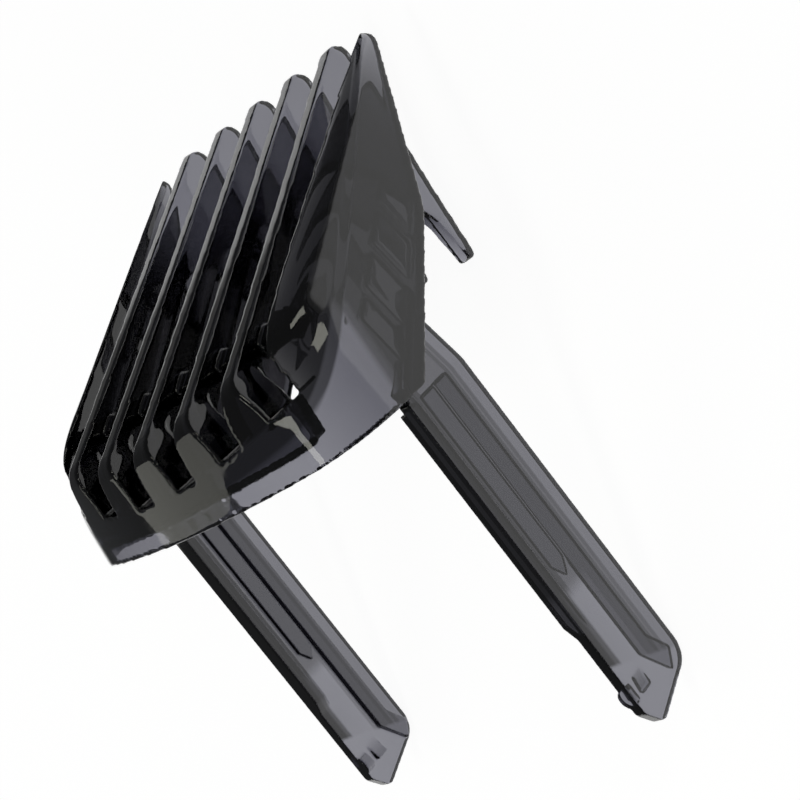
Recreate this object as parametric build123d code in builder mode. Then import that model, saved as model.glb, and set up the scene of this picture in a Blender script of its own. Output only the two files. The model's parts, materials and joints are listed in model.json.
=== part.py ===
from build123d import *
import math
import os

"""Guard comb of a hair clipper: a slotted hood of fins on two long spring arms.

The comb is drawn in its own directions: across (row X), fore (towards the tine tips) and
up (away from the arm ends). It lies on the feet of its tines and the ends of its arms.
All lengths are in millimetres.
"""

# --- how the comb lies on a table ---
LIE_ANGLE = -68.69         # turn of the fore direction about X, degrees
TABLE_SHIFT = (-4.70, 33.207)   # row Y and Z of the comb's own zero point

# --- hood ---
HOOD_HALF_WIDTH = 25.6     # at the lower edge
SIDE_LEAN = 0.17           # how far a side leans in for each mm of height
REAR_FORE = 0.3            # fore position of the rear wall at the lower edge
REAR_LEAN = 0.10
REAR_RADIUS = 77.0         # plan radius of the rear wall
CORNER_RADIUS = 9.0
REAR_WALL = 1.4            # thickness of the lip along the lower edge
REAR_BLOCK = 3.8           # and of the thick block that the tines grow from
BLOCK_BASE = 2.0           # height of the block above the lower edge
BLOCK_HALF_WIDTH = 19.5
CHEEK_WALL = 2.2
TOP_WALL = 1.5
SKIN_RISE = 9.0            # height of the skin plane above the lower edge, at the rear
SKIN_SLOPE = 0.5
BEND_RADIUS = 9.0
BEND_FORE = 3.0            # where the bend becomes the straight skin plane
RIM_FILLET = 2.6
CAVITY_FILLET = 1.4
HOOD_FRONT = 43.0
CAVITY_FRONT = 47.0        # the cavity runs out of the open front
HOOD_TOP = 32.0
HOOD_BASE = -3.0           # the blanks start below the lower edge and are cut there
BEYOND = 50.0              # reach of cutting shapes past the hood
SKIN_CLEAR = 0.15          # how far side outlines stand above the skin plane

# --- slots and tines ---
TINES = {-2: "tine_1", -1: "tine_2", 0: "tine_3", 1: "tine_4", 2: "tine_5"}
PITCH = 8.05
TINE_LEAN = 0.0365         # how far a tine leans in for each mm of height and each pitch
TINE_THICK = 1.8
TIP_RADIUS = 1.6
SLOT_FLOOR = 4.5           # height of the slot floors at the middle of the rear wall
SLOT_FLOOR_SIDE = 6.6      # and beside the cheeks
ROOT_FLARE = ((2.35, 3.0), (2.35, 5.4), (2.2, 8.8), (1.0, 9.2), (0.75, 12.0))
CHEEK_BORDER = 22.2        # inner border of a cheek at the lower edge
BORDER_LEAN = 0.09
WEB_RISE = 1.2             # lower edge of the fins, nearly parallel to the skin plane
WEB_SLOPE = 0.6
WEB_RADIUS = 3.0
LEG_RADIUS = 6.0
LEG_FORE = 31.0            # where the front leg of a tine starts
SHIN = (35.8, 9.2)         # fore and up of the leg's rear edge, halfway down
FOOT = (36.0, 3.6)         # and at the foot
FOOT_WIDTH = 1.1
KNEE = (38.5, 12.0)        # front edge of the leg
NOSE_FORE = 42.0           # front edge of a tine at the skin plane

# --- cheeks ---
FREE_EDGE = ((14.2, 0.0), (28.9, 11.6), (42.2, 30.25))
CHEEK_TIP_RADIUS = 1.1
FREE_EDGE_RADIUS = 9.0
POCKET_FORES = (14.6, 28.8)
POCKET_LOW = -8.8          # pocket heights: base + slope * fore
POCKET_HIGH = -1.1
POCKET_LOW_SLOPE = 0.75
POCKET_HIGH_SLOPE = 0.62
POCKET_DEPTH = 0.6
CHEEK_RIB_FORES = (17.2, 21.4, 25.6)
CHEEK_RIB_WIDTH = 0.9

# --- cross bar under the skin plane ---
BAR_FORE = 10.2
BAR_UNDER = 2.7            # centre of the bar below the skin plane
BAR_ALONG = 2.4
BAR_THICK = 1.5

# --- arms ---
ARM_OUTER = 23.3
ARM_BEND = -1.2            # above this height an arm leans in, behind its cheek
ARM_LEAN = 1.75            # how far it leans in at its upper end
ROOT_REACH = 1.8           # depth of the ledge inside the cheek
ARM_THICK = 1.4
ARM_REAR = 12.7
ARM_FRONT = 21.5
ARM_HEAD = -10.3           # slanted upper end of an arm: base + pocket slope * fore
FLEX_GAP = 0.4
ARM_END = ((21.5, -37.6), (14.2, -40.2), (12.7, -38.0))
ARM_END_RADII = (2.6, 0.8, 1.0)
ARM_RIB_FORE = 16.2
ARM_RIB_WIDTH = 1.9
ARM_RIB_HEIGHT = 0.5
ARM_RIB_ENDS = (-1.5, -23.4)
ARM_RIB_POINT = 1.6
ARM_BAND_FORES = (17.5, 19.4)
ARM_BAND_HEIGHT = 0.7
ARM_BAND_ENDS = (-1.5, -33.6)
ARM_BAND_CORNER = ((20.9, -36.2), (19.6, -37.9), (17.5, -34.4))
FLANGE_REACH = 0.7
FLANGE_THICK = 1.7
FLANGE_ENDS = (-1.5, -28.7)
FLANGE_NOTCH = 1.6
BUMP_UPS = (-35.1, -37.2)
BUMP_HEIGHT = 0.7
BUMP_WIDTH = 1.3
DETENT_FORE = 15.5
DETENT_WIDTH = 1.6
DETENT_UPS = (-34.8, -36.9)
DETENT_HEIGHT = 0.7
BEND_MIDDLE = 35           # degrees past the skin's tilt where the rear bend is drawn through
FACES_UP = 0.3             # a face whose normal rises more than this counts as the top
SOLE_SHARE = 0.45          # rounding of a foot's two corners as a share of its width

LIE = math.radians(LIE_ANGLE)
FORE = Vector(0, math.cos(LIE), math.sin(LIE))
UP = Vector(0, -math.sin(LIE), math.cos(LIE))
ZERO = Vector(0, TABLE_SHIFT[0], TABLE_SHIFT[1])


def at(across, fore, up):
    """The row position of a place given in the comb's own directions."""
    return ZERO + Vector(across, 0, 0) + FORE * fore + UP * up


def side_plane(across, lean=0.0):
    """A plane seen from the side: local x is fore and local y is up."""
    return Plane(origin=at(across, 0, 0), x_dir=FORE, z_dir=Vector(1, 0, 0) + UP * lean)


def level_plane(up):
    """A plane seen from above: local x is across and local y is fore."""
    return Plane(origin=at(0, 0, up), x_dir=(1, 0, 0), z_dir=UP)


def rear_plane(fore):
    """A plane seen from behind: local x is across and local y is up."""
    return Plane(origin=at(0, fore, 0), x_dir=(1, 0, 0), z_dir=FORE * -1)


def hood_plan(up, wall, side_wall):
    """The hood's plan at one height: a bowed rear wall, round corners and straight sides."""
    half = HOOD_HALF_WIDTH - SIDE_LEAN * up - side_wall
    rear = REAR_FORE + REAR_LEAN * up + wall
    corner = rear + half * half / (2 * REAR_RADIUS)
    front = HOOD_FRONT + 2 * RIM_FILLET
    with BuildSketch(level_plane(up)) as plan:
        with BuildLine():
            ThreePointArc((-half, corner), (0, rear), (half, corner))
            Polyline((half, corner), (half, front), (-half, front), (-half, corner))
        make_face()
        fillet(plan.vertices().sort_by(Axis.Y)[:2], CORNER_RADIUS - wall)
    return plan.sketch


def hood_side(drop, front):
    """The hood from the side: the straight skin plane with a round bend at the rear."""
    tilt = math.atan(SKIN_SLOPE)
    under = drop / math.cos(tilt)
    start = (BEND_FORE, SKIN_RISE + SKIN_SLOPE * BEND_FORE - under)
    radius = BEND_RADIUS - drop
    centre = (start[0] + radius * math.sin(tilt), start[1] - radius * math.cos(tilt))
    steep = tilt + math.radians(BEND_MIDDLE)
    middle = (centre[0] - radius * math.sin(steep), centre[1] + radius * math.cos(steep))
    rear = (centre[0] - radius, centre[1])
    with BuildSketch(side_plane(0)) as side:
        with BuildLine():
            ThreePointArc(rear, middle, start)
            Polyline(
                start,
                (front, SKIN_RISE + SKIN_SLOPE * front - under),
                (front, HOOD_BASE),
                (rear[0], HOOD_BASE),
                rear,
            )
        make_face()
    return side.sketch


def hood_solid(wall, side_wall, drop, rim, front):
    """A solid hood with the given offsets from the outer surface and a rounded rim."""
    with BuildPart() as body:
        loft([hood_plan(HOOD_BASE, wall, side_wall), hood_plan(HOOD_TOP, wall, side_wall)], ruled=True)
        extrude(hood_side(drop, front), amount=BEYOND, both=True, mode=Mode.INTERSECT)
        front_face = body.faces().sort_by(Axis(ZERO, FORE))[-1]
        base_face = body.faces().sort_by(Axis(ZERO, UP))[0]
        top = [f for f in body.faces() if f.normal_at().dot(UP) > FACES_UP]
        rim_edges = []
        for face in top:
            for edge in face.edges():
                others = [g for g in body.faces() if g not in top and edge in g.edges()]
                if others and others[0] != front_face and others[0] != base_face:
                    rim_edges.append(edge)
        fillet(rim_edges, rim)
    return body.part


def skin_up(fore):
    """Height of the skin plane at a fore position."""
    return SKIN_RISE + SKIN_SLOPE * fore


def rear_block(inner):
    """The thick part of the rear wall, inside the thin one, that the tines grow from."""
    with BuildPart() as block:
        add(inner)
        add(
            hood_solid(REAR_BLOCK, CHEEK_WALL, TOP_WALL, CAVITY_FILLET, CAVITY_FRONT),
            mode=Mode.SUBTRACT,
        )
        with BuildSketch(rear_plane(0)) as window:
            with Locations((0, (BLOCK_BASE + HOOD_TOP) / 2)):
                Rectangle(2 * BLOCK_HALF_WIDTH, HOOD_TOP - BLOCK_BASE)
        extrude(window.sketch, amount=BEYOND, both=True, mode=Mode.INTERSECT)
    return block.part


def make_skirt(shell):
    """The plain band of the rear wall below the slots."""
    top = CHEEK_BORDER - BORDER_LEAN * SLOT_FLOOR_SIDE
    with BuildPart() as skirt:
        add(shell)
        with BuildSketch(rear_plane(0)) as band:
            with BuildLine():
                ThreePointArc((-top, SLOT_FLOOR_SIDE), (0, SLOT_FLOOR), (top, SLOT_FLOOR_SIDE))
                Polyline(
                    (top, SLOT_FLOOR_SIDE),
                    (CHEEK_BORDER, 0),
                    (-CHEEK_BORDER, 0),
                    (-top, SLOT_FLOOR_SIDE),
                )
            make_face()
        extrude(band.sketch, amount=BEYOND, both=True, mode=Mode.INTERSECT)
    return skirt.part


def cheek_outline():
    """A cheek from the side: bottom edge, free edge, round tip and the skin plane."""
    rear_rise = skin_up(0) + SKIN_CLEAR
    with BuildSketch(side_plane(0)) as outline:
        with BuildLine():
            Polyline((-BEYOND, 0), *FREE_EDGE, (0, rear_rise), (-BEYOND, rear_rise), close=True)
        make_face()
        fillet(outline.vertices().sort_by_distance(FREE_EDGE[1])[0], FREE_EDGE_RADIUS)
        fillet(outline.vertices().sort_by_distance(FREE_EDGE[2])[0], CHEEK_TIP_RADIUS)
    return outline.sketch


def pocket_band(fore_from, fore_to):
    """A recess in a cheek's inner face between two fore positions."""
    floor = HOOD_HALF_WIDTH - CHEEK_WALL + POCKET_DEPTH
    with BuildPart() as pocket:
        with BuildSketch(side_plane(floor, SIDE_LEAN)) as band:
            with BuildLine():
                Polyline(
                    (fore_from, POCKET_LOW + POCKET_LOW_SLOPE * fore_from),
                    (fore_to, POCKET_LOW + POCKET_LOW_SLOPE * fore_to),
                    (fore_to, POCKET_HIGH + POCKET_HIGH_SLOPE * fore_to),
                    (fore_from, POCKET_HIGH + POCKET_HIGH_SLOPE * fore_from),
                    close=True,
                )
            make_face()
        extrude(band.sketch, amount=-POCKET_DEPTH)
    return pocket.part


def beyond_border(up):
    """Across position of a cheek's inner border at one height."""
    return CHEEK_BORDER - BORDER_LEAN * up


def make_cheek(shell):
    """The right cheek: the hood's side wall with its rounded rear corner."""
    with BuildPart() as cheek:
        add(shell)
        extrude(cheek_outline(), amount=BEYOND, both=True, mode=Mode.INTERSECT)
        with BuildSketch(rear_plane(0)) as side:
            with BuildLine():
                Polyline(
                    (beyond_border(HOOD_BASE), HOOD_BASE),
                    (BEYOND, HOOD_BASE),
                    (BEYOND, HOOD_TOP),
                    (beyond_border(HOOD_TOP), HOOD_TOP),
                    close=True,
                )
            make_face()
        extrude(side.sketch, amount=BEYOND, both=True, mode=Mode.INTERSECT)
        add(pocket_band(*POCKET_FORES), mode=Mode.SUBTRACT)
    return cheek.part


def make_cheek_rib(fore):
    """One upright rib between two pockets of the right cheek."""
    return pocket_band(fore - CHEEK_RIB_WIDTH / 2, fore + CHEEK_RIB_WIDTH / 2)


def tine_across(index, up):
    """Across position of a tine's middle plane at one height."""
    return index * (PITCH - TINE_LEAN * up)


def tine_blade(index, outer):
    """A tine's fin and its hooked front leg, cut to the hood's outer surface."""
    lean = index * TINE_LEAN
    web = (LEG_FORE, WEB_RISE + WEB_SLOPE * LEG_FORE)
    toe = (FOOT[0] + FOOT_WIDTH, FOOT[1])
    nose = (NOSE_FORE, skin_up(NOSE_FORE) + SKIN_CLEAR)
    sole = FOOT_WIDTH * SOLE_SHARE
    rounds = (
        (web, WEB_RADIUS),
        (SHIN, LEG_RADIUS),
        (KNEE, LEG_RADIUS),
        (nose, TIP_RADIUS),
        (FOOT, sole),
        (toe, sole),
    )
    with BuildPart() as blade:
        with BuildSketch(side_plane(index * PITCH, lean)) as side:
            with BuildLine():
                Polyline(
                    (-BEYOND, WEB_RISE - WEB_SLOPE * BEYOND),
                    web,
                    SHIN,
                    FOOT,
                    toe,
                    KNEE,
                    nose,
                    (0, skin_up(0) + SKIN_CLEAR),
                    (-BEYOND, skin_up(0) + SKIN_CLEAR),
                    close=True,
                )
            make_face()
            for place, radius in rounds:
                fillet(side.vertices().sort_by_distance(place)[0], radius)
        extrude(side.sketch, amount=TINE_THICK / 2, both=True)
        add(outer, mode=Mode.INTERSECT)
    return blade.part


def tine_root(index, shell):
    """The wall's strip between two slots, flaring out towards the slot floors."""
    right = [(tine_across(index, up) + half, up) for half, up in ROOT_FLARE]
    left = [(tine_across(index, up) - half, up) for half, up in ROOT_FLARE]
    with BuildPart() as root:
        with BuildSketch(rear_plane(0)) as strip:
            with BuildLine():
                Bezier(*right[1:])
                Line(right[-1], left[-1])
                Bezier(*left[:0:-1])
                Polyline(left[1], left[0], right[0], right[1])
            make_face()
        extrude(strip.sketch, amount=BEYOND, both=True)
        add(shell, mode=Mode.INTERSECT)
    return root.part


def make_tine(index, outer, shell, skirt):
    """One tine with its root strip, standing on the skirt."""
    with BuildPart() as tine:
        add(tine_blade(index, outer))
        add(tine_root(index, shell))
        add(skirt, mode=Mode.SUBTRACT)
    return tine.part


def make_bars(inner, tines):
    """The cross bar's segments from cheek to cheek, between the fins."""
    slope = math.degrees(math.atan(SKIN_SLOPE))
    with BuildPart() as bars:
        with BuildSketch(side_plane(0)) as section:
            with Locations((BAR_FORE, skin_up(BAR_FORE) - BAR_UNDER)):
                Rectangle(BAR_ALONG, BAR_THICK, rotation=slope)
        extrude(section.sketch, amount=BEYOND, both=True)
        add(inner, mode=Mode.INTERSECT)
        for tine in tines:
            add(tine, mode=Mode.SUBTRACT)
    return bars.solids().sort_by(Axis.X)


def arm_head_up(fore, gap=0.0):
    """Height of an arm's slanted upper end, or of the root a gap above it."""
    return ARM_HEAD + POCKET_LOW_SLOPE * fore + gap * math.hypot(1, POCKET_LOW_SLOPE)


def make_arm_root():
    """The ledge inside the right cheek that carries the arm."""
    wall = HOOD_HALF_WIDTH - CHEEK_WALL
    with BuildPart() as root:
        with BuildSketch(side_plane(wall, SIDE_LEAN)) as side:
            with BuildLine():
                Polyline(
                    (ARM_REAR, arm_head_up(ARM_REAR, FLEX_GAP)),
                    (ARM_FRONT, arm_head_up(ARM_FRONT, FLEX_GAP)),
                    (ARM_FRONT, POCKET_LOW + POCKET_LOW_SLOPE * ARM_FRONT),
                    (ARM_REAR, POCKET_LOW + POCKET_LOW_SLOPE * ARM_REAR),
                    close=True,
                )
            make_face()
        extrude(side.sketch, amount=ROOT_REACH, dir=(-1, 0, 0))
    return root.part


def make_arm_blade():
    """The right arm: a straight strip that leans in behind the cheek at its upper end."""
    inner = ARM_OUTER - ARM_THICK
    low = ARM_END[1][1] - BEYOND
    high = arm_head_up(ARM_FRONT)
    with BuildPart() as blade:
        with BuildSketch(rear_plane(0)) as section:
            with BuildLine():
                Polyline(
                    (inner, low),
                    (ARM_OUTER, low),
                    (ARM_OUTER, ARM_BEND),
                    (ARM_OUTER - ARM_LEAN, high),
                    (inner - ARM_LEAN, high),
                    (inner, ARM_BEND),
                    close=True,
                )
            make_face()
        extrude(section.sketch, amount=BEYOND, both=True)
        with BuildSketch(side_plane(0)) as side:
            with BuildLine():
                Polyline(
                    (ARM_REAR, arm_head_up(ARM_REAR)),
                    (ARM_FRONT, high),
                    *ARM_END,
                    close=True,
                )
            make_face()
            for place, radius in zip(ARM_END, ARM_END_RADII):
                fillet(side.vertices().sort_by_distance(place)[0], radius)
        extrude(side.sketch, amount=BEYOND, both=True, mode=Mode.INTERSECT)
    return blade.part


def make_arm_rib():
    """The stiffening rib along the inside of the right arm, pointed at its lower end."""
    top, end = ARM_RIB_ENDS
    half = ARM_RIB_WIDTH / 2
    with BuildPart() as rib:
        with BuildSketch(side_plane(ARM_OUTER - ARM_THICK)) as side:
            with BuildLine():
                Polyline(
                    (ARM_RIB_FORE - half, top),
                    (ARM_RIB_FORE + half, top),
                    (ARM_RIB_FORE + half, end + ARM_RIB_POINT),
                    (ARM_RIB_FORE, end),
                    (ARM_RIB_FORE - half, end + ARM_RIB_POINT),
                    close=True,
                )
            make_face()
        extrude(side.sketch, amount=-ARM_RIB_HEIGHT)
    return rib.part


def make_arm_band():
    """The long raised band inside the right arm, turning into its front corner."""
    rear, front = ARM_BAND_FORES
    top, end = ARM_BAND_ENDS
    with BuildPart() as band:
        with BuildSketch(side_plane(ARM_OUTER - ARM_THICK)) as side:
            with BuildLine():
                Polyline((rear, top), (front, top), (front, end), *ARM_BAND_CORNER, close=True)
            make_face()
        extrude(side.sketch, amount=-ARM_BAND_HEIGHT)
    return band.part


def make_arm_flange():
    """The rail along the rear edge of the right arm, with a slanted lower end."""
    top, end = FLANGE_ENDS
    inner = ARM_OUTER - ARM_THICK
    with BuildPart() as flange:
        with BuildSketch(rear_plane(ARM_REAR)) as section:
            with BuildLine():
                Polyline(
                    (inner, top),
                    (inner, end),
                    (inner - FLANGE_REACH, end + FLANGE_NOTCH),
                    (inner - FLANGE_REACH, top),
                    close=True,
                )
            make_face()
        extrude(section.sketch, amount=-FLANGE_THICK)
    return flange.part


def make_click_bump():
    """The round bump that snaps under the clipper's rail at the rear edge of the right arm."""
    high, low = BUMP_UPS
    inner = ARM_OUTER - ARM_THICK
    with BuildPart() as bump:
        with BuildSketch(rear_plane(ARM_REAR)) as section:
            with BuildLine():
                ThreePointArc((inner, high), (inner - BUMP_HEIGHT, (high + low) / 2), (inner, low))
                Line((inner, low), (inner, high))
            make_face()
        extrude(section.sketch, amount=-BUMP_WIDTH)
    return bump.part


def make_detent():
    """The small wedge beside the click bump."""
    high, low = DETENT_UPS
    inner = ARM_OUTER - ARM_THICK
    with BuildPart() as detent:
        with BuildSketch(rear_plane(DETENT_FORE - DETENT_WIDTH / 2)) as section:
            with BuildLine():
                Polyline((inner, high), (inner - DETENT_HEIGHT, low), (inner, low), close=True)
            make_face()
        extrude(section.sketch, amount=-DETENT_WIDTH)
    return detent.part


def mirrored(part):
    """The left side's copy of a right part."""
    with BuildPart() as copy:
        add(mirror(part, about=Plane.YZ))
    return copy.part


def write(part, name):
    """Label a piece and write it to its own file."""
    part.label = name
    export_step(part, f"parts/{name}.step")
    print(f"{name}: {part.volume:.1f} mm3, valid {part.is_valid}")


def write_pair(part, name):
    """Write a right piece and its left mirror image."""
    write(part, f"right_{name}")
    write(mirrored(part), f"left_{name}")


os.makedirs("parts", exist_ok=True)

outer = hood_solid(0, 0, 0, RIM_FILLET, HOOD_FRONT)
inner = hood_solid(REAR_WALL, CHEEK_WALL, TOP_WALL, CAVITY_FILLET, CAVITY_FRONT)
with BuildPart() as hood:
    add(outer)
    add(inner, mode=Mode.SUBTRACT)
    add(rear_block(inner))
skirt = make_skirt(hood.part)
tines = [make_tine(index, outer, hood.part, skirt) for index in TINES]

write(skirt, "skirt")
for tine, name in zip(tines, TINES.values()):
    write(tine, name)
for number, bar in enumerate(make_bars(inner, tines), start=1):
    write(bar, f"cross_bar_{number}")
write_pair(make_cheek(hood.part), "cheek")
for number, fore in enumerate(CHEEK_RIB_FORES, start=1):
    write_pair(make_cheek_rib(fore), f"cheek_rib_{number}")
write_pair(make_arm_root(), "arm_root")
write_pair(make_arm_blade(), "arm_blade")
write_pair(make_arm_rib(), "arm_rib")
write_pair(make_arm_band(), "arm_band")
write_pair(make_arm_flange(), "arm_flange")
write_pair(make_click_bump(), "click_bump")
write_pair(make_detent(), "detent")
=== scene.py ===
"""Studio picture of a clipper guard comb moulded in smoke-grey translucent plastic.

Each body of the comb is fused into one moulding with softly rounded edges. The comb's own
directions are across (row X), fore (towards the tine tips) and up (away from the arm ends).
"""
import json
import math

import bpy
from mathutils import Matrix, Vector


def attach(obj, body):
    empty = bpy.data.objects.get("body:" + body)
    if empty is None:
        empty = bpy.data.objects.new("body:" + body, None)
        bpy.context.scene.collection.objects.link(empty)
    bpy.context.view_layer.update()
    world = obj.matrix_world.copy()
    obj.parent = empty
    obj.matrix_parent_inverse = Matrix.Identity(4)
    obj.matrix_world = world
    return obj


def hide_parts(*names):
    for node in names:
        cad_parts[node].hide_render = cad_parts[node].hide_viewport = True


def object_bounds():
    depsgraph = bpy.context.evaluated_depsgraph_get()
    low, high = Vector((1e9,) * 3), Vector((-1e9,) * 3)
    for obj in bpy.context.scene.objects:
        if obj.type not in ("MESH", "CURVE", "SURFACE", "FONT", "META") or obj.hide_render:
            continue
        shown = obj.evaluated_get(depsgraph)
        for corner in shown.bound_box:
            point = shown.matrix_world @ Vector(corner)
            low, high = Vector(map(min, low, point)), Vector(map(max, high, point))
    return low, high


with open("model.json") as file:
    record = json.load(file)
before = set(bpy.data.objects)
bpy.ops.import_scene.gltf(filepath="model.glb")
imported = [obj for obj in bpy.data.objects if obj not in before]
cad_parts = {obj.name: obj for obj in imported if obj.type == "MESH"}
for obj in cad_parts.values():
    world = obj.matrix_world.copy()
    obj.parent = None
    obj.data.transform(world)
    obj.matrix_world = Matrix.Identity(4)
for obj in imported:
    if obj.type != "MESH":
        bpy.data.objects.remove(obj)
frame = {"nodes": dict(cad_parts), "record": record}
cad_box = [list(corner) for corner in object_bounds()]

MM = 0.001

# --- the mouldings ---
HOOD_GRAIN = 0.18 * MM     # size of the fused surface's cells
HOOD_ROUNDS = 9            # smoothing rounds that round the edges
ARM_GRAIN = 0.1 * MM
ARM_ROUNDS = 14
WELD_REACH = 0.001 * MM

# --- the hood's shape, in millimetres, which places the painted shade: a fade is the pair of values that it runs between ---
SKIN_RISE = 9.0            # the fins' upper faces lie along up = rise + slope * fore
SKIN_SLOPE = 0.5
LIP_SLOPE = 0.5            # the clear lip's upper edge rises towards the cheeks
LIP_FADE = (1.6, 2.4)
BORDER_SLOPE = 1.44        # a cheek panel's rear border is fore = slope * up - start
BORDER_START = 1.2
BORDER_LENGTH = 1.75       # turns the border's formula into a distance
BORDER_FADE = (-1.5, -0.9)
WALL_FADE = (17.8, 18.6)   # across: the side wall, outside the last fin
WALL_DEPTH_FADE = (0.15, 0.5)    # depth below the skin where the painted shade on the side wall sets in
FIN_FADE = (20, 32)        # fore: the painted shade on the fins lifts towards their tips
PANEL_LEAN = 0.17          # the cheek panels lean in as they rise
PANEL_FADE = (22.2, 23.0)
PANEL_REAR_LEAN = 0.2
PANEL_REAR_FADE = (11.2, 12.2)
PANEL_TIP_FADE = (30, 42)

# --- painted shade in the plastic's colour: 0 is clear, 1 is painted black ---
BLOCK_PAINTED_SHADE = 0.92
PANEL_PAINTED_SHADE = 0.88
PANEL_TIP_PAINTED_SHADE = 0.3

# --- the side wall turns inwards behind each cheek panel ---
STEP_SLOPE = 0.25          # millimetres inwards for each millimetre behind the border
STEP_MOST = 1.1
STEP_LOW = 2.0             # it starts this far above the lip's line
STEP_LOW_FADE = 3.0
STEP_SIDE = 18.3           # it leaves everything nearer the middle alone
STEP_SIDE_FADE = 1.2

# --- painted strips along an arm: fore place in millimetres and how light the painted colour is, from painted shade near 0 to clear at 1, with thin painted highlights ---
STRIPE_SPAN = (12.0, 22.0)
UPPER_PAINTED_STRIPES = (
    (12.7, 0.05),
    (13.8, 0.05),
    (13.9, 0.5),
    (14.0, 0.08),
    (14.6, 0.1),
    (14.7, 0.46),
    (17.3, 0.46),
    (17.5, 0.45),
    (19.2, 0.45),
    (19.4, 0.18),
    (19.7, 0.18),
    (19.9, 0.75),
    (21.5, 0.75),
)
LOWER_PAINTED_STRIPES = (
    (12.7, 0.05),
    (14.0, 0.08),
    (14.3, 0.9),
    (17.3, 1.0),
    (17.5, 0.45),
    (19.2, 0.45),
    (19.4, 0.22),
    (19.7, 0.22),
    (19.9, 0.75),
    (21.5, 0.75),
)
STRIPE_CHANGE = (-25.5, -23.5)   # up: where the upper strips give way to the lower ones
ARM_END_SLOPE = 0.5        # the clear end starts on a slanted line
ARM_END_FADE = (-26.2, -25.6)

# --- plastic ---
HOOD_DENSITY = 940         # absorption per metre
ARM_DENSITY = 1080
SMOKE = (0.08, 0.08, 0.15, 1)
INDEX = 1.57               # refractive index of polycarbonate, near enough

# --- table, in metres ---
TABLE_REACH = 1.2
TABLE_GAP = 0.02 * MM      # keeps the table clear of the comb's feet
TABLE_FADE = (0.16, 0.3)   # distance from the comb over which the table's painted glow dims
# painted light: glow strength of the table near the comb and far from it
TABLE_PAINTED_LIGHT_NEAR = 0.93
TABLE_PAINTED_LIGHT_FAR = 0.12
TABLE_COLOUR = (0.3, 0.3, 0.3, 1)

# --- camera, in the comb's own directions and millimetres ---
CAMERA_PLACE = (162.5, -100.5, 30.4)
CAMERA_RIGHT = (0.5781, 0.5519, -0.601)
CAMERA_UP = (0.2811, 0.5568, 0.7817)
CAMERA_LENS = 90.0

BEHAVIOUR = frame["record"]["behaviour"]
LEFT_FLEX = next(j for j in BEHAVIOUR["joints"] if j["name"] == "left_arm_flex")
FLEX_PLACE = (-22.1, 17.1, 1.5)    # the left flex axis in the comb's own directions

ACROSS = Vector((1, 0, 0))
FORE = Vector(LEFT_FLEX["axis"]).normalized()
UP = ACROSS.cross(FORE)


def along(place):
    """A direction given in the comb's own directions."""
    return ACROSS * place[0] + FORE * place[1] + UP * place[2]


ZERO = Vector(LEFT_FLEX["pos_m"]) - along(FLEX_PLACE) * MM


def at(place):
    """The row position, in metres, of a place given in the comb's own directions."""
    return ZERO + along(place) * MM


# ---------------------------------------------------------------- sums in the shader
def number(tree, operation, first, second):
    """The result of one sum on sockets or plain numbers."""
    node = tree.nodes.new("ShaderNodeMath")
    node.operation = operation
    for slot, value in zip(node.inputs, (first, second)):
        if isinstance(value, (int, float)):
            slot.default_value = value
        else:
            tree.links.new(value, slot)
    return node.outputs["Value"]


def product(tree, first, *others):
    """All the values multiplied together."""
    for other in others:
        first = number(tree, "MULTIPLY", first, other)
    return first


def leaning(tree, value, other, slope):
    """A value plus a share of another, which is steady along a sloping line."""
    return number(tree, "ADD", value, product(tree, other, slope))


def blend(tree, amount, first, second):
    """A mix of two grey values."""
    rest = product(tree, number(tree, "SUBTRACT", 1.0, amount), first)
    return number(tree, "ADD", rest, product(tree, amount, second))


def fade(tree, value, span, before, after):
    """A smooth step from one number to another as the value passes over the span."""
    node = tree.nodes.new("ShaderNodeMapRange")
    node.interpolation_type = "SMOOTHSTEP"
    node.inputs["From Min"].default_value, node.inputs["From Max"].default_value = span
    node.inputs["To Min"].default_value = before
    node.inputs["To Max"].default_value = after
    tree.links.new(value, node.inputs["Value"])
    return node.outputs["Result"]


def comb_place(tree, place):
    """Across (both sides alike), fore and up, in millimetres, of the shaded place."""
    moved = tree.nodes.new("ShaderNodeVectorMath")
    moved.operation = "SUBTRACT"
    moved.inputs[1].default_value = ZERO
    tree.links.new(place, moved.inputs[0])
    found = []
    for direction in (ACROSS, FORE, UP):
        dot = tree.nodes.new("ShaderNodeVectorMath")
        dot.operation = "DOT_PRODUCT"
        dot.inputs[1].default_value = direction / MM
        tree.links.new(moved.outputs["Vector"], dot.inputs[0])
        found.append(dot.outputs["Value"])
    across, fore, up = found
    return number(tree, "ABSOLUTE", across, 0), fore, up


def painted_stripes(tree, fore, stops):
    """A painted shade value for each strip along an arm; stops are (fore in millimetres, value).
    """
    low, high = STRIPE_SPAN
    ramp = tree.nodes.new("ShaderNodeValToRGB")
    band = ramp.color_ramp
    while len(band.elements) < len(stops):
        band.elements.new(0.5)
    for element, (edge, value) in zip(band.elements, stops):
        element.position = (edge - low) / (high - low)
        element.color = (value, value, value, 1)
    spread = tree.nodes.new("ShaderNodeMapRange")
    spread.inputs["From Min"].default_value = low
    spread.inputs["From Max"].default_value = high
    tree.links.new(fore, spread.inputs["Value"])
    tree.links.new(spread.outputs["Result"], ramp.inputs["Fac"])
    return ramp.outputs["Color"]


def noise(tree, place, scale, detail, distortion=0.0):
    """A cloudy value from 0 to 1 over the surface."""
    node = tree.nodes.new("ShaderNodeTexNoise")
    node.inputs["Scale"].default_value = scale
    node.inputs["Detail"].default_value = detail
    node.inputs["Distortion"].default_value = distortion
    tree.links.new(place, node.inputs["Vector"])
    return node.outputs["Fac"]


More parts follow.
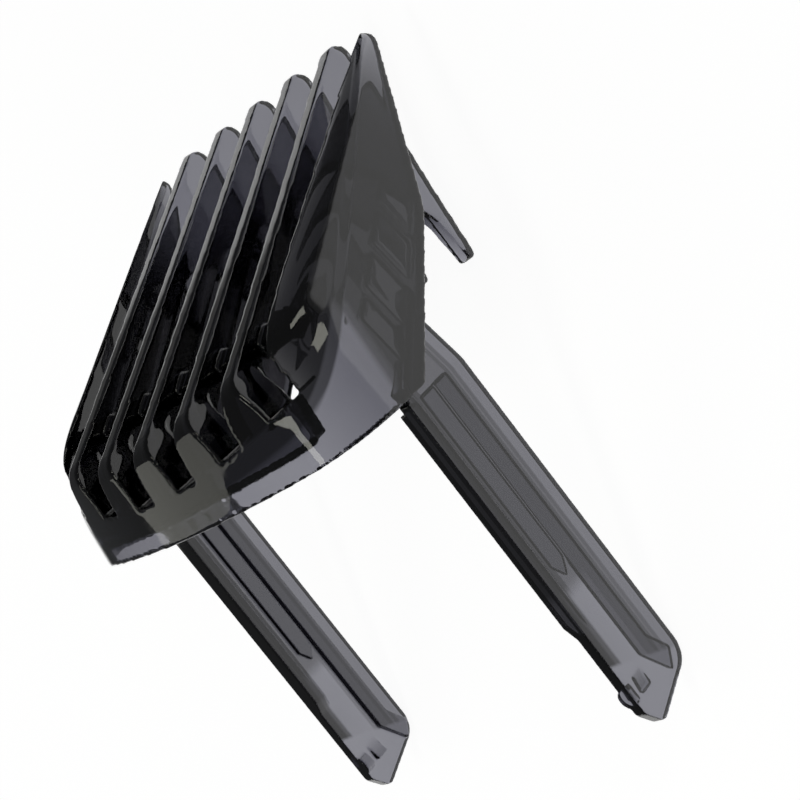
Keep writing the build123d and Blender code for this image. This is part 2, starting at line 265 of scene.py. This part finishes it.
# ---------------------------------------------------------------- material
def hood_painted_shade(tree, place):
    """Painted shade on the hood, as a factor on its colour: painted near black above the lip and
    in the cheeks, clear at the tips.
    """
    across, fore, up = comb_place(tree, place)
    border = leaning(tree, fore, up, -BORDER_SLOPE)

    # painted shade on the block behind the slots, the fins up to their tips and the wall behind
    # the panels
    above_lip = fade(tree, leaning(tree, up, fore, -LIP_SLOPE), LIP_FADE, 0, 1)
    behind = fade(tree, border, BORDER_FADE, 1, 0)
    skin = number(tree, "ADD", product(tree, fore, SKIN_SLOPE), SKIN_RISE)
    below_skin = fade(tree, number(tree, "SUBTRACT", skin, up), WALL_DEPTH_FADE, 0, 1)
    wall = product(tree, fade(tree, across, WALL_FADE, 0, 1), below_skin)
    deep = number(tree, "MAXIMUM", fade(tree, fore, FIN_FADE, 1, 0), wall)
    block = product(tree, above_lip, behind, deep)

    # painted shade on the cheek panels, a little lighter at their tips
    panel = product(
        tree,
        fade(tree, leaning(tree, across, up, PANEL_LEAN), PANEL_FADE, 0, 1),
        fade(tree, leaning(tree, fore, up, -PANEL_REAR_LEAN), PANEL_REAR_FADE, 0, 1),
        fade(tree, border, BORDER_FADE, 0, 1),
        fade(tree, fore, PANEL_TIP_FADE, PANEL_PAINTED_SHADE, PANEL_TIP_PAINTED_SHADE),
    )
    outside_block = number(tree, "SUBTRACT", 1.0, product(tree, block, BLOCK_PAINTED_SHADE))
    return product(tree, outside_block, number(tree, "SUBTRACT", 1.0, panel))


def arm_painted_shade(tree, place):
    """Painted shade and thin painted highlights along an arm, as a factor on its colour: dark
    rails, greyer bands and a clear end.
    """
    fore, up = comb_place(tree, place)[1:]
    upper = painted_stripes(tree, fore, UPPER_PAINTED_STRIPES)
    lower = painted_stripes(tree, fore, LOWER_PAINTED_STRIPES)
    whole = blend(tree, fade(tree, up, STRIPE_CHANGE, 1, 0), upper, lower)
    slanted = leaning(tree, up, fore, ARM_END_SLOPE)
    return blend(tree, fade(tree, slanted, ARM_END_FADE, 1, 0), whole, 1.0)


def smoke_plastic(name, density, painted_shade):
    """Smoke-grey translucent moulded plastic, glossy, with faint flow marks, its colour darkened
    by a painted shade factor.
    """
    material = bpy.data.materials.new(name)
    material.use_nodes = True
    tree = material.node_tree
    tree.nodes.clear()
    link = tree.links.new
    output = tree.nodes.new("ShaderNodeOutputMaterial")
    plastic = tree.nodes.new("ShaderNodeBsdfPrincipled")
    plastic.inputs["Transmission Weight"].default_value = 1.0
    plastic.inputs["IOR"].default_value = INDEX
    smoke = tree.nodes.new("ShaderNodeVolumeAbsorption")
    smoke.inputs["Color"].default_value = SMOKE
    smoke.inputs["Density"].default_value = density
    place = tree.nodes.new("ShaderNodeTexCoord").outputs["Object"]

    # cloudy flow of the melt tints the surface a little
    tint = tree.nodes.new("ShaderNodeValToRGB")
    greyer, clearer = tint.color_ramp.elements
    greyer.position = 0.3
    greyer.color = (0.90, 0.90, 0.93, 1)
    clearer.position = 0.7
    clearer.color = (0.97, 0.97, 0.99, 1)
    link(noise(tree, place, 90, 3, 0.8), tint.inputs["Fac"])
    # the painted shade factor darkens the tinted colour by place on the part
    shade = tree.nodes.new("ShaderNodeVectorMath")
    shade.operation = "SCALE"
    link(tint.outputs["Color"], shade.inputs["Vector"])
    link(painted_shade(tree, place), shade.inputs["Scale"])

    # fine wipe marks vary the gloss
    gloss = tree.nodes.new("ShaderNodeMapRange")
    gloss.inputs["From Min"].default_value = 0.35
    gloss.inputs["From Max"].default_value = 0.75
    gloss.inputs["To Min"].default_value = 0.015
    gloss.inputs["To Max"].default_value = 0.06
    link(noise(tree, place, 700, 4), gloss.inputs["Value"])

    # slight sink and waviness of a moulded wall
    bump = tree.nodes.new("ShaderNodeBump")
    bump.inputs["Strength"].default_value = 0.25
    bump.inputs["Distance"].default_value = 0.4 * MM
    link(noise(tree, place, 60, 1), bump.inputs["Height"])

    link(shade.outputs["Vector"], plastic.inputs["Base Color"])
    link(gloss.outputs["Result"], plastic.inputs["Roughness"])
    link(bump.outputs["Normal"], plastic.inputs["Normal"])
    link(plastic.outputs["BSDF"], output.inputs["Surface"])
    link(smoke.outputs["Volume"], output.inputs["Volume"])
    return material


# ---------------------------------------------------------------- the mouldings
def clamped(value):
    """A value kept between 0 and 1."""
    return min(max(value, 0.0), 1.0)


def step_behind_panel(mesh):
    """Turn the hood's side wall inwards behind each cheek panel's rear border."""
    for vertex in mesh.vertices:
        place = vertex.co - ZERO
        across = place.dot(ACROSS) / MM
        fore = place.dot(FORE) / MM
        up = place.dot(UP) / MM
        behind = (BORDER_SLOPE * up - fore - BORDER_START) / BORDER_LENGTH
        above = clamped((up - LIP_SLOPE * fore - STEP_LOW) / STEP_LOW_FADE)
        outside = clamped((abs(across) - STEP_SIDE) / STEP_SIDE_FADE)
        if behind > 0:
            inwards = min(STEP_SLOPE * behind, STEP_MOST) * above * outside
            vertex.co.x -= math.copysign(inwards, across) * MM


def joined(body, nodes):
    """A body's solids as one mesh object, still with a face between neighbours."""
    vertices = []
    faces = []
    for node in nodes:
        mesh = frame["nodes"][node].data
        start = len(vertices)
        vertices += [v.co[:] for v in mesh.vertices]
        faces += [[start + i for i in face.vertices] for face in mesh.polygons]
    data = bpy.data.meshes.new(f"{body}_joined")
    data.from_pydata(vertices, [], faces)
    piece = bpy.data.objects.new(f"{body}_moulding", data)
    bpy.context.scene.collection.objects.link(piece)
    return piece


def moulding(body, nodes, material, grain, rounds):
    """One continuous moulding in place of a body's touching solids."""
    piece = joined(body, nodes)
    weld = piece.modifiers.new("weld", "WELD")
    weld.merge_threshold = WELD_REACH
    fuse = piece.modifiers.new("fuse", "REMESH")
    fuse.mode = "VOXEL"
    fuse.voxel_size = grain
    soften = piece.modifiers.new("soften", "SMOOTH")
    soften.factor = 0.5
    soften.iterations = rounds
    depsgraph = bpy.context.evaluated_depsgraph_get()
    fused = bpy.data.meshes.new_from_object(piece.evaluated_get(depsgraph))
    piece.modifiers.clear()
    if body == "head":
        step_behind_panel(fused)
    piece.data = fused
    fused.materials.clear()
    fused.materials.append(material)
    for face in fused.polygons:
        face.use_smooth = True
    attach(piece, body)
    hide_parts(*nodes)


# ---------------------------------------------------------------- studio
def table_material():
    """A pale table top that glows with a painted pool of light, brightest under the comb, that
    dims towards its edges.
    """
    material = bpy.data.materials.new("pale_table_painted_light")
    material.use_nodes = True
    tree = material.node_tree
    tree.nodes.clear()
    output = tree.nodes.new("ShaderNodeOutputMaterial")
    matte = tree.nodes.new("ShaderNodeBsdfDiffuse")
    matte.inputs["Color"].default_value = TABLE_COLOUR
    # painted light: an emission glow, brightest under the comb
    glow = tree.nodes.new("ShaderNodeEmission")
    place = tree.nodes.new("ShaderNodeTexCoord")
    distance = tree.nodes.new("ShaderNodeVectorMath")
    distance.operation = "LENGTH"
    both = tree.nodes.new("ShaderNodeAddShader")
    link = tree.links.new
    link(place.outputs["Object"], distance.inputs[0])
    painted_light = fade(tree, distance.outputs["Value"], TABLE_FADE, TABLE_PAINTED_LIGHT_NEAR, TABLE_PAINTED_LIGHT_FAR)
    link(painted_light, glow.inputs["Strength"])
    link(matte.outputs["BSDF"], both.inputs[0])
    link(glow.outputs["Emission"], both.inputs[1])
    link(both.outputs["Shader"], output.inputs["Surface"])
    return material


def floor():
    """A plain pale table top that glows with a painted pool of light."""
    low, high = (Vector(corner) for corner in cad_box)
    centre = (low + high) / 2
    height = low.z - TABLE_GAP
    signs = ((-1, -1), (1, -1), (1, 1), (-1, 1))
    corners = [(centre.x + x * TABLE_REACH, centre.y + y * TABLE_REACH, height) for x, y in signs]
    data = bpy.data.meshes.new("floor")
    data.from_pydata(corners, [], [(0, 1, 2, 3)])
    data.materials.append(table_material())
    table = bpy.data.objects.new("floor", data)
    bpy.context.scene.collection.objects.link(table)


def softbox(name, place, size, power, colour=(1, 1, 1)):
    """A rectangular soft light aimed at the middle of the comb; place is in metres."""
    low, high = (Vector(corner) for corner in cad_box)
    light = bpy.data.lights.new(name, "AREA")
    light.shape = "RECTANGLE"
    light.size = size[0]
    light.size_y = size[1]
    light.energy = power
    light.color = colour
    lamp = bpy.data.objects.new(name, light)
    middle = (low + high) / 2
    lamp.location = middle + Vector(place)
    lamp.rotation_euler = (middle - lamp.location).to_track_quat("-Z", "Y").to_euler()
    bpy.context.scene.collection.objects.link(lamp)


def studio():
    """A dim room over a table bright with its painted glow, with soft lights from the sides,
    front and above.
    """
    world = bpy.data.worlds.new("room")
    world.use_nodes = True
    room = world.node_tree.nodes["Background"]
    room.inputs["Color"].default_value = (0.85, 0.87, 0.9, 1)
    room.inputs["Strength"].default_value = 0.12
    bpy.context.scene.world = world
    softbox("left_light", (-0.45, -0.1, 0.35), (0.16, 0.3), 0.12, (1.0, 1.0, 0.90))
    softbox("right_light", (0.40, 0.28, 0.17), (0.07, 0.2), 0.12, (1.0, 1.0, 0.88))
    softbox("front_light", (0.2, -0.5, 0.3), (0.25, 0.25), 0.25)
    softbox("top_light", (0.0, -0.17, 0.6), (0.09, 0.26), 0.24, (1.0, 1.0, 0.90))
    bpy.context.scene.view_settings.view_transform = "Standard"


def camera():
    """The viewing camera, close to the comb's right rear corner."""
    data = bpy.data.cameras.new("camera")
    data.lens = CAMERA_LENS
    data.sensor_width = 36.0
    data.clip_start = 0.01
    view = bpy.data.objects.new("camera", data)
    right = along(CAMERA_RIGHT).normalized()
    back = right.cross(along(CAMERA_UP)).normalized()
    up = back.cross(right)
    turn = Matrix((right, up, back)).transposed().to_4x4()
    view.matrix_world = Matrix.Translation(at(CAMERA_PLACE)) @ turn
    bpy.context.scene.collection.objects.link(view)
    bpy.context.scene.camera = view


# the hood's colour carries painted shade, set by place on the part
hood_plastic = smoke_plastic("smoke_plastic_hood_painted_shade", HOOD_DENSITY, hood_painted_shade)
# the arms' colour carries painted shade and painted highlight strips, set by place
arm_plastic = smoke_plastic("smoke_plastic_arms_painted_shade", ARM_DENSITY, arm_painted_shade)
for body, nodes in BEHAVIOUR["bodies"].items():
    if body == "head":
        moulding(body, nodes, hood_plastic, HOOD_GRAIN, HOOD_ROUNDS)
    else:
        moulding(body, nodes, arm_plastic, ARM_GRAIN, ARM_ROUNDS)
floor()
studio()
camera()
